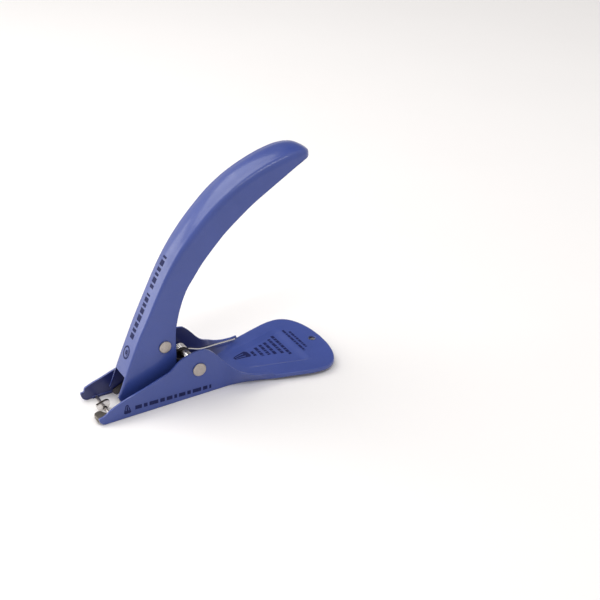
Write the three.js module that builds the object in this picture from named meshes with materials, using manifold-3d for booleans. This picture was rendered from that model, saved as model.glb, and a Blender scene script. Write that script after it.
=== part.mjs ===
// Lever staple remover: a pressed-steel base with two jaw arms and a flat paddle, and a
// pressed-steel handle that pivots on a rivet between the base's cheeks against a torsion spring.
// Millimetres, +Z up. X runs from the jaw tips (-X) to the paddle (+X), Y = 0 is the plane of
// symmetry, and the origin is on the ground directly below the pivot rivet.
import * as THREE from 'three';
import { mergeVertices } from 'three/addons/utils/BufferGeometryUtils.js';
import Module from 'manifold-3d';

const wasm = await Module();
wasm.setup();

// ---- driving dimensions -------------------------------------------------------------
const SHEET = 1.2;                         // thickness of the painted sheet steel
const CLEAR = 0.25;                        // gap left between neighbouring pieces

const BASE_HALF = 12.6;                    // outer half-width over the cheeks
const PIVOT = { x: 0, z: 14.9 };           // pivot rivet axis
const FLOOR_FRONT = -14;                   // front edge of the channel floor
const JAW_SLOT_HALF = 10.9;                // half-width of the open jaw slot in the floor
const FLAT_FLOOR_END = 8;                  // from here the floor ramps up to the paddle
const TAIL_END = 37;                       // where the cheeks stop and the plain paddle starts
const FAN_X = 62;                          // centre that the paddle's rear sections turn about
const PLATE_TOP = 4;                       // top face of the paddle
const LIP_BOTTOM = 1.8;                    // lower edge of the paddle's turned-down rim
const FIELD_DEPTH = 0.9;                   // depth of the shallow pressed field in the paddle
const FIELD_SLOPE = 1.6;                   // width of the field's sloping border
const HANG_HOLE = { x: 71.4, r: 1.9 };

const HANDLE_HALF = 6.5;                   // outer half-width of the handle channel
const SPINE_END_Z = 17.8;                  // lower end of the handle's spine
const RIVET = { x: -14.4, z: 28.9 };       // rivet that holds the lifter in the handle

const SHANK_R = 1.7;                       // both rivets' shanks
const HOLE_R = SHANK_R + CLEAR;
const PIVOT_HEAD = { r: 3.45, t: 0.95 };
const RIVET_HEAD = { r: 3.1, t: 0.9 };

const LIFTER_T = 1;                        // thickness of the lifter's side plates
const LIFTER_OUT = HANDLE_HALF - SHEET - 0.3;
const EYE_R = 3.1;                         // the lifter's pivot eyes

const WIRE_R = 0.5;                        // torsion spring
const COIL_R = 2.5;                        // mean radius of the coil
const COIL_START_Y = 5.95;
const COIL_PITCH = 1.1;
const COIL_FROM = 210;                     // degrees about the pivot, where the handle leg joins
const COIL_TO = 280 + 4 * 360;             // and where the base leg leaves

const TIP_OPEN_END = -46.9;                // behind this the arms have ledges of floor
const PIN = { x: -45, z: 0.95, r: 0.7 };   // cross pin between the jaw arms
const PIN_END = JAW_SLOT_HALF - CLEAR;
const TONGUE_HALF = 0.65;

// Side view of a cheek and its arm: [x, height of the top edge].
const CHEEK_TOP = [
  [-52.4, 3.9], [-51.5, 4.2], [-50, 4.5], [-48.9, 5.0], [-46.8, 6.6], [-40.8, 9.4], [-34.8, 11.4],
  [-29, 13.2], [-21.7, 15.7], [-15.3, 18.1], [-9.8, 22.4], [-5.5, 24.1], [-1.2, 25], [2.5, 25.1],
  [5.2, 24.1], [7.8, 22], [10, 19.4], [12.5, 16.3], [15, 13.4], [17.5, 11.3], [20, 9.6], [25, 7.3], [30, 6.1],
  [TAIL_END, 5.3],
];
// The far cheek: its arm stands a little taller and ends in a small beak below a blunt corner,
// and its hump is slightly higher and shorter.
const FAR_CHEEK_TOP = [
  [-52.4, 4.3], [-52, 4.9], [-51.5, 4.7], [-50.7, 5.2], [-50.35, 6.6], [-50, 7], [-40.8, 10.3], [-34.8, 12.4],
  [-29, 14], [-21.7, 16.2], [-15.3, 18.6], [-9.8, 22.7], [-5.5, 24.9], [-1.2, 26.1], [2.5, 25.6], [5.2, 23.6],
  [7.8, 20.7], [10, 17.9], [12.5, 15.3], [15, 13.2], [17.5, 11.3], [20, 9.6], [25, 7.3], [30, 6.1],
  [TAIL_END, 5.3],
];
// Side view of a cheek: [x, height of the bottom edge], rounded up at the jaw tip.
const CHEEK_BOTTOM = [
  [-52.4, 3.1], [-52, 1.9], [-51.5, 1.2], [-50.7, 0.5], [-50, 0.15], [-49.4, 0], [18, 0], [32, 0.7],
  [45, LIP_BOTTOM],
];
// How far the cheek's top edge leans out over its bottom edge: [x, lean].
const CHEEK_LEAN = [
  [10, 0], [12.5, 0.7], [15, 2.2], [17.5, 4.1], [20, 5.3], [25, 4.8], [30, 3.5], [TAIL_END, 1.2], [50, 0],
];
// Plan view of the outer edge: [x, half-width].
const OUTLINE = [
  [14, BASE_HALF], [17.5, 12.75], [21, 13.3], [25, 14.5], [32.5, 17.6], [37, 20.1], [42.5, 22.4],
  [49.6, 24.7], [55.7, 26.4], [60.5, 27.1], [65.5, 26.7], [70, 23.9], [73.6, 18], [75.9, 9.5], [76.7, 0],
];
// Plan view of the pressed field's border: [x, half-width].
const FIELD = [[20, 5], [36.4, 8.6], [50, 12.3], [60, 15], [70, 15.4]];
// Stations of the handle channel from its foot to its tip: the front (spine) point, the rear
// (wall edge) point, the half-width, the spine's corner radius and the spine's crown height.
const HANDLE = [
  { front: [-36.6, 2.1], rear: [-11.5, 8.2], half: 6.5, corner: 1.2, crown: 0.1 },
  { front: [-38.7, 4.2], rear: [-10.2, 11], half: 6.5, corner: 1.2, crown: 0.1 },
  { front: [-39.8, 8], rear: [-9.5, 15], half: 6.5, corner: 1.2, crown: 0.1 },
  { front: [-38.1, 11.8], rear: [-9, 18.5], half: 6.5, corner: 1.2, crown: 0.1 },
  { front: [-35.6, 17.8], rear: [-8.7, 22.8], half: 6.5, corner: 1.2, crown: 0.1 },
  { front: [-33.4, 23], rear: [-8.6, 26.8], half: 6.5, corner: 1.2, crown: 0.15 },
  { front: [-27.6, 36], rear: [-8.1, 36], half: 6.5, corner: 1.2, crown: 0.2 },
  { front: [-23.2, 44.7], rear: [-6.4, 44.3], half: 6.9, corner: 1.3, crown: 0.25 },
  { front: [-19.4, 52.3], rear: [-4.1, 51.1], half: 7, corner: 1.5, crown: 0.35 },
  { front: [-15.7, 59.6], rear: [-1.4, 57], half: 7.2, corner: 1.7, crown: 0.45 },
  { front: [-11.6, 67.2], rear: [2.4, 62.6], half: 7.5, corner: 2, crown: 0.55 },
  { front: [-6.1, 75.8], rear: [6.9, 68.9], half: 7.9, corner: 2.3, crown: 0.65 },
  { front: [1.1, 84.8], rear: [12.5, 75.5], half: 8.5, corner: 2.6, crown: 0.8 },
  { front: [8.9, 92.9], rear: [18.6, 81.8], half: 8.9, corner: 2.9, crown: 0.9 },
  { front: [17.4, 100.2], rear: [25.4, 87.6], half: 9.4, corner: 3.1, crown: 1 },
  { front: [27, 106.4], rear: [33.2, 93.5], half: 9.7, corner: 3.3, crown: 1.1 },
  { front: [37.1, 111.1], rear: [41.5, 99], half: 9.9, corner: 3.5, crown: 1.2 },
  { front: [47, 114.3], rear: [49.8, 104.3], half: 10, corner: 3.7, crown: 1.2 },
  { front: [54.7, 115.7], rear: [56.3, 108], half: 9.7, corner: 3.9, crown: 1.1 },
  { front: [59.8, 115.4], rear: [60.6, 109.9], half: 8.8, corner: 3.6, crown: 0.9 },
  { front: [63.2, 114.1], rear: [63.2, 110.9], half: 7.2, corner: 3, crown: 0.6 },
  { front: [65.8, 111.9], rear: [65.6, 110.8], half: 4.7, corner: 1, crown: 0.2 },
];
const HANDLE_SPINE_START = 4;              // the station at the lower end of the spine
const NOSE_STATION = 19;                   // from here on the handle's tip closes

// ---- materials ----------------------------------------------------------------------
function finish(color, roughness, metalness) {
  return new THREE.MeshStandardMaterial({ color, roughness, metalness });
}
const bluePaint = finish(0x4c569a, 0.45, 0.1);
const rivetSteel = finish(0xb4aa9f, 0.42, 0.9);
const springSteel = finish(0xc9c4ba, 0.25, 1);
const toolSteel = finish(0x8f8a84, 0.38, 0.95);

// ---- geometry helpers ---------------------------------------------------------------
function lerp(a, b, t) {
  return a + (b - a) * t;
}

function smooth(t) {
  const s = Math.min(Math.max(t, 0), 1);
  return s * s * (3 - 2 * s);
}

// Straight-line interpolation in a table of [x, value] rows.
function lookup(table, x) {
  if (x <= table[0][0]) return table[0][1];
  for (let i = 1; i < table.length; i += 1) {
    const [x0, v0] = table[i - 1];
    const [x1, v1] = table[i];
    if (x <= x1) return lerp(v0, v1, (x - x0) / (x1 - x0));
  }
  return table[table.length - 1][1];
}

// A closed skin from corner points, three to a triangle, turned so that its faces point out.
function triangles(points) {
  let volume = 0;
  for (let i = 0; i < points.length; i += 3) {
    const [a, b, c] = points.slice(i, i + 3).map((p) => new THREE.Vector3(...p));
    volume += a.dot(b.cross(c));
  }
  const geometry = new THREE.BufferGeometry();
  const ordered = volume < 0 ? points.slice().reverse() : points;
  geometry.setAttribute('position', new THREE.Float32BufferAttribute(ordered.flat(), 3));
  return geometry;
}

// A solid skinned over closed loops that all have the same number of [x, y, z] points.
function loft(loops) {
  const out = [];
  const count = loops[0].length;
  for (let i = 0; i + 1 < loops.length; i += 1) {
    for (let j = 0; j < count; j += 1) {
      const k = (j + 1) % count;
      out.push(loops[i][j], loops[i][k], loops[i + 1][k]);
      out.push(loops[i][j], loops[i + 1][k], loops[i + 1][j]);
    }
  }
  out.push(...cap(loops[0], false), ...cap(loops[loops.length - 1], true));
  return triangles(out);
}

// The flat end of a loft, triangulated in the loop's own plane.
function cap(loop, forwards) {
  const points = loop.map((p) => new THREE.Vector3(...p));
  const normal = new THREE.Vector3();
  points.forEach((p, i) => {
    const q = points[(i + 1) % points.length];
    normal.add(new THREE.Vector3().crossVectors(p, q));
  });
  normal.normalize();
  const u = new THREE.Vector3(0, 1, 0).cross(normal).normalize();
  const v = new THREE.Vector3().crossVectors(normal, u);
  const flat = points.map((p) => new THREE.Vector2(p.dot(u), p.dot(v)));
  const faces = THREE.ShapeUtils.triangulateShape(flat, []);
  return faces.flatMap(([a, b, c]) => (forwards ? [loop[a], loop[b], loop[c]] : [loop[a], loop[c], loop[b]]));
}

// A flat side view [[x, z], ...] given a thickness across Y, from y0 to y1.
function sidePlate(outline, y0, y1, holes = []) {
  const shape = new THREE.Shape(outline.map(([x, z]) => new THREE.Vector2(x, z)));
  holes.forEach(({ x, z, r }) => shape.holes.push(new THREE.Path().absarc(x, z, r, 0, 2 * Math.PI, true)));
  const plate = new THREE.ExtrudeGeometry(shape, { depth: y1 - y0, bevelEnabled: false, curveSegments: 10 });
  return plate.rotateX(Math.PI / 2).translate(0, y1, 0);
}

// A turned piece on an axis along Y: profile rows are [radius, y].
function turned(profile, segments = 28) {
  const points = profile.map(([r, y]) => new THREE.Vector2(r, y));
  return new THREE.LatheGeometry(points, segments);
}

function crossCylinder(x, z, r, y0, y1) {
  return turned([[0, y0], [r, y0], [r, y1], [0, y1]]).translate(x, 0, z);
}

function arc(cx, cz, r, from, to, steps) {
  const points = [];
  for (let i = 0; i <= steps; i += 1) {
    const a = THREE.MathUtils.degToRad(lerp(from, to, i / steps));
    points.push([cx + r * Math.cos(a), cz + r * Math.sin(a)]);
  }
  return points;
}

function toSolid(geometry) {
  const bare = geometry.clone();
  bare.deleteAttribute('normal');
  bare.deleteAttribute('uv');
  bare.clearGroups();
  const merged = mergeVertices(bare, 1e-4);
  const vertProperties = new Float32Array(merged.attributes.position.array);
  const triVerts = new Uint32Array(merged.index.array);
  return new wasm.Manifold(new wasm.Mesh({ numProp: 3, vertProperties, triVerts }));
}

function toGeometry(solid) {
  const mesh = solid.getMesh();
  const geometry = new THREE.BufferGeometry();
  geometry.setAttribute('position', new THREE.BufferAttribute(new Float32Array(mesh.vertProperties), 3));
  geometry.setIndex(new THREE.BufferAttribute(new Uint32Array(mesh.triVerts), 1));
  return geometry;
}

function cut(solid, ...tools) {
  return tools.reduce((body, tool) => body.subtract(toSolid(tool)), solid);
}

// ---- base frame -----------------------------------------------------------------------
function plateTop(x) {
  return lerp(SHEET, PLATE_TOP, smooth((x - FLAT_FLOOR_END) / 26));
}

function fieldDepth(x) {
  return FIELD_DEPTH * smooth((x - 26) / 12) * (1 - smooth((x - 56) / 6));
}

// One half of a cross-section, from the centre line out and back, in (distance out, z).
function halfSection(x, half, side) {
  const low = lookup(CHEEK_BOTTOM, x);
  const top = x < TIP_OPEN_END ? low + 0.4 : plateTop(x);
  const inner = half - SHEET;
  const isTail = x < TAIL_END;
  const edge = Math.max(lookup(side > 0 ? FAR_CHEEK_TOP : CHEEK_TOP, x), top + 0.3);
  const field = Math.min(lookup(FIELD, x), 0.7 * inner);
  const drop = fieldDepth(x);
  const upper = [[0, top - drop], [field, top - drop], [field + FIELD_SLOPE, top]];
  const lean = lookup(CHEEK_LEAN, x);
  const foot = Math.min(0.9, 0.4 * (edge - top));
  const footLean = lean * foot / (edge - top);
  const rim = isTail
    ? [[inner - 0.9, top], [inner + footLean, top + foot], [inner + lean, edge], [half + lean, edge]]
    : [[inner - 0.9, top], [inner - 0.2, top - 0.02], [inner + 0.5, top - 0.12], [half + lean, top - 0.7]];
  const under = [
    [half, low + 0.3], [half - 0.3, low], [inner, low], [inner - 0.3, Math.max(top - SHEET, low)],
    [field + FIELD_SLOPE, top - SHEET], [field, top - drop - SHEET], [0, top - drop - SHEET],
  ];
  return [...upper, ...rim, ...under];
}

// Centre-line point, outward direction and half-width for each station round the paddle.
function baseStations() {
  const stations = [];
  const xs = [
    -52.4, -52, -51.5, -50.7, -50.35, -50, -49.4, -48.2, -46.8, -40.8, -34.8, -29, -21.7, -15.3, -12.4, -9.8,
    -7.6, -5.5, -3.3, -1.2, 0.7, 2.5, 4, 5.2, 6.6, 7.8, 9.4, 10.9, 12.8,
  ];
  xs.forEach((x) => stations.push({ x, cx: x, half: BASE_HALF }));
  const outline = OUTLINE.map(([x, w]) => new THREE.Vector3(x, w, 0));
  const curve = new THREE.CatmullRomCurve3(outline, false, 'centripetal');
  const steps = 30;
  for (let i = 0; i <= steps; i += 1) {
    const p = curve.getPoint(i / steps);
    stations.push({ x: p.x, cx: Math.min(p.x, FAN_X), half: p.y });
  }
  return stations.filter((s) => Math.abs(s.x - TAIL_END) > 0.35).concat([
    { x: TAIL_END - 0.05, cx: TAIL_END - 0.05, half: curveHalf(curve, TAIL_END - 0.05) },
    { x: TAIL_END + 0.05, cx: TAIL_END + 0.05, half: curveHalf(curve, TAIL_END + 0.05) },
  ]).sort((a, b) => a.x - b.x);
}

function curveHalf(curve, x) {
  let low = 0;
  let high = 1;
  for (let i = 0; i < 40; i += 1) {
    const mid = (low + high) / 2;
    if (curve.getPoint(mid).x < x) low = mid;
    else high = mid;
  }
  return curve.getPoint(low).y;
}

// A half-section stands square to X, or past FAN_X along the ray from the fan's centre.
function placeSection({ x, cx, half }, side) {
  const reach = Math.hypot(x - cx, half);
  const dx = (x - cx) / reach;
  const dy = half / reach;
  return halfSection(x, reach, side).map(([out, z]) => [cx + out * dx, side * out * dy, z]);
}

function baseShell() {
  const near = baseStations().map((s) => placeSection(s, -1));
  const far = baseStations().map((s) => placeSection(s, 1));
  const rows = [...near, ...far.slice(0, -1).reverse()];
  const out = [];
  for (let i = 0; i + 1 < rows.length; i += 1) {
    for (let j = 0; j + 1 < rows[i].length; j += 1) {
      addQuad(out, rows[i][j], rows[i][j + 1], rows[i + 1][j + 1], rows[i + 1][j]);
    }
  }
  const front = [...near[0].slice().reverse(), ...far[0].slice(1, -1)];
  out.push(...cap(front, true));
  return triangles(out);
}

function same(a, b) {
  return Math.hypot(a[0] - b[0], a[1] - b[1], a[2] - b[2]) < 1e-6;
}

function addQuad(out, a, b, c, d) {
  if (!same(a, b) && !same(b, c) && !same(a, c)) out.push(a, b, c);
  if (!same(a, c) && !same(c, d) && !same(a, d)) out.push(a, c, d);
}

// The open slot between the arms, with a rounded rear corner each side.
function jawSlot() {
  const r = 4;
  const points = [[-60, -JAW_SLOT_HALF], [FLOOR_FRONT - r, -JAW_SLOT_HALF]];
  points.push(...arc(FLOOR_FRONT - r, -JAW_SLOT_HALF + r, r, -75, 0, 4));
  points.push(...arc(FLOOR_FRONT - r, JAW_SLOT_HALF - r, r, 0, 75, 4));
  points.push([FLOOR_FRONT - r, JAW_SLOT_HALF], [-60, JAW_SLOT_HALF]);
  const shape = new THREE.Shape(points.map(([x, y]) => new THREE.Vector2(x, y)));
  return new THREE.ExtrudeGeometry(shape, { depth: 12, bevelEnabled: false }).translate(0, 0, -4);
}

// Clears the floor's ledges away inside the jaw tips, where the foot tab sits.
function tipOpening() {
  const inner = BASE_HALF - SHEET + 0.05;
  return sidePlate([[-60, -4], [TIP_OPEN_END, -4], [TIP_OPEN_END, 12], [-60, 12]], -inner, inner);
}

function hangHole() {
  const hole = new THREE.CylinderGeometry(HANG_HOLE.r, HANG_HOLE.r, 8, 20);
  return hole.rotateX(Math.PI / 2).translate(HANG_HOLE.x, 0, PLATE_TOP - SHEET / 2);
}

function baseFrame() {
  const pivotHole = crossCylinder(PIVOT.x, PIVOT.z, HOLE_R, -20, 20);
  return toGeometry(cut(toSolid(baseShell()), jawSlot(), tipOpening(), pivotHole, hangHole()));
}

// ---- handle ---------------------------------------------------------------------------
// One half of the channel's outer section in (depth from the rear edge, y), rear edge first.
function outerHalf(depth, half, corner, crown) {
  const points = [[0, half]];
  for (let i = 0; i <= 3; i += 1) {
    const a = (i / 3) * (Math.PI / 2);
    points.push([depth - crown - corner + corner * Math.sin(a), half - corner + corner * Math.cos(a)]);
  }
  return points;
}

function channelSection(station, isNose) {
  const { front, rear, half, corner, crown } = station;
  const depth = Math.hypot(front[0] - rear[0], front[1] - rear[1]);
  const radius = Math.min(corner, 0.8 * depth - crown, 0.9 * half);
  const outer = outerHalf(depth, half, radius, crown);
  const web = isNose ? depth - 0.25 : SHEET;
  const innerHalf = Math.max(half - SHEET, 0.5);
  const innerRadius = Math.max(Math.min(radius - SHEET, innerHalf - 0.2, depth - web - 0.1), 0.1);
  const innerDepth = Math.max(depth - web, 0.2);
  const innerCrown = Math.min(crown, 0.1 * innerDepth);
  const inner = outerHalf(innerDepth, innerHalf, Math.min(innerRadius, 0.8 * innerDepth), innerCrown);
  const loop = [
    ...outer.map(([q, y]) => [q, -y]), [depth, 0], ...outer.slice().reverse(),
    ...inner, [innerDepth, 0], ...inner.slice().reverse().map(([q, y]) => [q, -y]),
  ];
  const ux = (front[0] - rear[0]) / depth;
  const uz = (front[1] - rear[1]) / depth;
  return loop.map(([q, y]) => [rear[0] + q * ux, y, rear[1] + q * uz]);
}

// Removes the spine's web below the spine's lower end, which leaves the two fork legs.
function forkOpening() {
  const inner = HANDLE_HALF - SHEET;
  const end = HANDLE[HANDLE_SPINE_START].front;
  const outline = [
    [-50, SPINE_END_Z], [end[0] - 2, SPINE_END_Z + 0.5], [end[0] + 6, SPINE_END_Z - 1.4], [end[0] + 6, -4],
    [-50, -4],
  ];
  return sidePlate(outline, -inner, inner);
}

function handleShell() {
  const loops = HANDLE.map((station, i) => channelSection(station, i >= NOSE_STATION));
  const rivetHole = crossCylinder(RIVET.x, RIVET.z, HOLE_R, -10, 10);
  return toGeometry(cut(toSolid(loft(loops)), forkOpening(), rivetHole));
}

// ---- lifter: two steel side plates ending in claws, joined by a web -----------------------
function lifterOutline() {
  return [
    [-38.7, 5.2], [-37.9, 3.7], [-34, 3.6], [-12, 9.4], [-3, 12.2],
    ...arc(PIVOT.x, PIVOT.z, EYE_R, -100, 90, 12),
    [-6.5, 18.4], [-9.6, 20.5], [-10.2, 26],
    ...arc(RIVET.x, RIVET.z, 4.2, -10, 170, 9),
    [-20.5, 21], [-27, 11], [-36.4, 7.4], [-38.4, 6.4],
  ];
}

function lifter() {
  const holes = [{ ...PIVOT, r: HOLE_R }, { ...RIVET, r: HOLE_R }];
  const inside = LIFTER_OUT - LIFTER_T;
  const near = toSolid(sidePlate(lifterOutline(), -LIFTER_OUT, -inside, holes));
  const far = toSolid(sidePlate(lifterOutline(), inside, LIFTER_OUT, holes));
  const webOutline = [[-24.5, 8.5], [-21.5, 9], [-21.5, 12], [-24.5, 11.2]];
  const web = toSolid(sidePlate(webOutline, -inside - 0.2, inside + 0.2));
  return toGeometry(near.add(far).add(web));
}

// ---- fasteners --------------------------------------------------------------------------
// A rivet with a low domed head each side, turned about an axis along Y through its centre.
function rivet(halfGrip, head) {
  const face = halfGrip + 0.12;
  const end = face + head.t;
  const dome = [[head.r, face + 0.35 * head.t], [0.86 * head.r, end - 0.06], [0.5 * head.r, end]];
  const up = [[SHANK_R, face], [head.r, face], ...dome, [0, end]];
  const down = up.map(([r, y]) => [r, -y]).reverse();
  return turned([...down, ...up]);
}

function tube(outer, inner, y0, y1, segments = 24) {
  return turned([[inner, y0], [outer, y0], [outer, y1], [inner, y1], [inner, y0]], segments);
}

// ---- jaw tools ----------------------------------------------------------------------------
// A thin upright blade that straddles the cross pin.
function tongue() {
  const outline = [
    [-49.3, 3.1], [-48.3, 0.5], ...arc(PIN.x, PIN.z, PIN.r + CLEAR, 208, -28, 8), [-43.6, 0.5],
    [-42.6, 1.6], [-42.2, 3.2], [-42.6, 4.4], [-43.5, 5], [-44.6, 5], [-49, 3.7],
  ];
  return sidePlate(outline, -TONGUE_HALF, TONGUE_HALF);
}

// A steel foot inside the near jaw tip: a flat tab with a rounded inner end.
function footTab() {
  const outer = BASE_HALF - SHEET - CLEAR;
  const points = [[-47.2, -outer], [-51.2, -outer], [-52.5, -outer + 1.6]];
  points.push(...arc(-50.1, -outer + 3.7, 2.6, 190, 60, 6), [-47.2, -outer + 3.4]);
  const shape = new THREE.Shape(points.map(([x, y]) => new THREE.Vector2(x, y)));
  return new THREE.ExtrudeGeometry(shape, { depth: 2, bevelEnabled: false }).translate(0, 0, 1.4);
}

// ---- torsion spring -----------------------------------------------------------------------
class SpringPath extends THREE.Curve {
  constructor(points) {
    super();
    this.path = new THREE.CatmullRomCurve3(points, false, 'centripetal');
  }

  getPoint(t, target = new THREE.Vector3()) {
    return this.path.getPoint(t, target);
  }
}

// The route of the wire: the hook behind the handle's walls, the coil, then the leg on the paddle.
function springRoute() {
  const points = [
    [-7.9, -2.5, 24], [-7.9, 1, 23.9], [-7.9, 4.4, 23.8], [-7.6, 5.6, 23.2], [-6.6, COIL_START_Y, 21.3],
  ];
  const steps = (COIL_TO - COIL_FROM) / 30;
  for (let i = 0; i <= steps; i += 1) {
    const a = THREE.MathUtils.degToRad(COIL_FROM + 30 * i);
    const y = COIL_START_Y + (i / 12) * COIL_PITCH;
    points.push([PIVOT.x + COIL_R * Math.cos(a), y, PIVOT.z + COIL_R * Math.sin(a)]);
  }
  points.push([4.6, 10.6, 12.7], [11.1, 10.8, 10.4], [22.8, 13.9, 8], [34.6, 17, 5.7]);
  return points.map((p) => new THREE.Vector3(...p));
}

function torsionSpring() {
  const points = springRoute();
  const section = new THREE.Shape();
  section.absarc(0, 0, WIRE_R, 0, 2 * Math.PI);
  const sides = new THREE.Shape(section.getPoints(8).slice(0, -1));
  const extrudePath = new SpringPath(points);
  return new THREE.ExtrudeGeometry(sides, { steps: points.length - 1, extrudePath, bevelEnabled: false });
}

// ---- assembly -----------------------------------------------------------------------------
const remover = new THREE.Group();

function add(name, geometry, material, x = 0, z = 0) {
  const mesh = new THREE.Mesh(geometry, material);
  mesh.name = name;
  mesh.position.set(x, 0, z);
  remover.add(mesh);
}

const cheekInner = BASE_HALF - SHEET - CLEAR;
const lifterInner = LIFTER_OUT - LIFTER_T - CLEAR;
const nearSpacer = tube(2.9, HOLE_R, -cheekInner, -LIFTER_OUT - CLEAR);

add('base_frame', baseFrame(), bluePaint);
add('handle_shell', handleShell(), bluePaint);
add('lifter', lifter(), toolSteel);
add('pivot_rivet', rivet(BASE_HALF, PIVOT_HEAD), rivetSteel, PIVOT.x, PIVOT.z);
add('lifter_rivet', rivet(HANDLE_HALF, RIVET_HEAD), rivetSteel, RIVET.x, RIVET.z);
add('lifter_spacer', tube(2.9, HOLE_R, -lifterInner, lifterInner), springSteel, RIVET.x, RIVET.z);
add('pivot_spacer_near', nearSpacer, springSteel, PIVOT.x, PIVOT.z);
add('pivot_spacer_middle', tube(2.7, HOLE_R, -lifterInner, lifterInner), springSteel, PIVOT.x, PIVOT.z);
add('torsion_spring', torsionSpring(), springSteel);
add('cross_pin', crossCylinder(0, 0, PIN.r, -PIN_END, PIN_END), toolSteel, PIN.x, PIN.z);
add('tongue', tongue(), toolSteel);
add('foot_tab', footTab(), toolSteel);

export default remover;
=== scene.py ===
"""Looks for the lever staple remover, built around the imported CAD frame. Metres, +Z up."""
import math

import bmesh
import bpy
from mathutils import Matrix, Vector
from mathutils.bvhtree import BVHTree


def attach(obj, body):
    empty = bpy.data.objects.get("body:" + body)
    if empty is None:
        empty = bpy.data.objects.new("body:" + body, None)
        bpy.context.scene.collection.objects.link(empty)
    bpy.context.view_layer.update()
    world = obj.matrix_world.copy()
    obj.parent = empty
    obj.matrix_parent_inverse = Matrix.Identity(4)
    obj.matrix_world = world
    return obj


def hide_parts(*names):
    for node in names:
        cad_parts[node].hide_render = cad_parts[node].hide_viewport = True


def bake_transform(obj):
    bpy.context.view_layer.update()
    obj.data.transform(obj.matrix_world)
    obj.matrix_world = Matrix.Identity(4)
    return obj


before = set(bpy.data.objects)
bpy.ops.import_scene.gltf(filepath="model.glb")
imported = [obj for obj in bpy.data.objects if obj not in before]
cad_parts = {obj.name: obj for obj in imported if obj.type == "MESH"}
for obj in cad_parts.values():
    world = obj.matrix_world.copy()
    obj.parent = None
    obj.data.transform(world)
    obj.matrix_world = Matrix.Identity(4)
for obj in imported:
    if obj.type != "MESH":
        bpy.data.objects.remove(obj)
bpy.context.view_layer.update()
MM = 0.001

# ---- shape of the pressed parts, in millimetres ---------------------------------------------
SHEET = 1.2
BASE_HALF = 12.6
PIVOT = (0, 14.9)
RIVET = (-14.4, 28.9)
FLOOR_FRONT = -14
JAW_SLOT_HALF = 10.9
SLOT_CORNER_R = 4
PAST_TIP = -60              # clear of the jaw tips, where the cutters start
TIP_OPEN_END = -46.9
FLAT_FLOOR_END = 8          # from here the floor ramps up to the paddle
FLOOR_RAMP = 26
TAIL_END = 37               # where the cheeks stop and the plain paddle starts
FAN_X = 62                  # centre that the paddle's rear sections turn about
PLATE_TOP = 4
LIP_BOTTOM = 1.8
FIELD_DEPTH = 0.9
FIELD_START, FIELD_RISE = 26, 12
FIELD_END, FIELD_FALL = 56, 6
FIELD_NEAR_SLOPE = 2.2      # width of the field's sloping border on each side
FIELD_FAR_SLOPE = 3.4
HANG_HOLE = (71.4, 1.9)
HANDLE_HALF = 6.5
SPINE_END_Z = 17.8
HOLE_R = 1.95
PIVOT_HEAD = (3.45, 0.95)   # radius and thickness of a rivet's head
RIVET_HEAD = (3.1, 0.9)
WIRE_R = 0.5
COIL_R = 2.5
COIL_START_Y = 5.95
COIL_PITCH = 1.1
COIL_FROM = 210             # degrees about the pivot, where the handle's leg joins the coil
COIL_TO = 280 + 4 * 360     # and where the base's leg leaves it
COIL_STEP = 30

CHEEK_TOP = [
    (-52.4, 3.9), (-51.5, 4.2), (-50, 4.5), (-48.9, 5.0), (-46.8, 6.6), (-40.8, 9.4), (-34.8, 11.4),
    (-29, 13.2), (-21.7, 15.7), (-15.3, 18.1), (-9.8, 22.4), (-5.5, 24.1), (-1.2, 25), (2.5, 25.1),
    (5.2, 24.1), (7.8, 22), (10, 19.4), (12.5, 16.3), (15, 13.4), (17.5, 11.3), (20, 9.6), (25, 7.3),
    (30, 6.1), (TAIL_END, 5.3),
]
FAR_CHEEK_TOP = [
    (-52.4, 4.3), (-52, 4.9), (-51.5, 4.7), (-50.7, 5.2), (-50.35, 6.6), (-50, 7), (-40.8, 10.3),
    (-34.8, 12.4), (-29, 14), (-21.7, 16.2), (-15.3, 18.6), (-9.8, 22.7), (-5.5, 24.9), (-1.2, 26.1),
    (2.5, 25.6), (5.2, 23.6), (7.8, 20.7), (10, 17.9), (12.5, 15.3), (15, 13.2), (17.5, 11.3), (20, 9.6),
    (25, 7.3), (30, 6.1), (TAIL_END, 5.3),
]
CHEEK_BOTTOM = [
    (-52.4, 3.1), (-52, 1.9), (-51.5, 1.2), (-50.7, 0.5), (-50, 0.15), (-49.4, 0), (18, 0), (32, 0.7),
    (45, LIP_BOTTOM),
]
CHEEK_LEAN = [
    (10, 0), (12.5, 0.7), (15, 2.2), (17.5, 4.1), (20, 5.3), (25, 4.8), (30, 3.5), (TAIL_END, 1.2),
    (50, 0),
]
OUTLINE = [
    (14, BASE_HALF), (17.5, 12.75), (21, 13.3), (25, 14.5), (32.5, 17.6), (37, 20.1), (42.5, 22.4),
    (49.6, 24.7), (55.7, 26.4), (60.5, 27.1), (65.5, 26.7), (70, 23.9), (73.6, 18), (75.9, 9.5),
    (76.7, 0),
]
FIELD = [(20, 5), (36.4, 8.6), (50, 12.3), (60, 15), (70, 15.4)]
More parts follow.
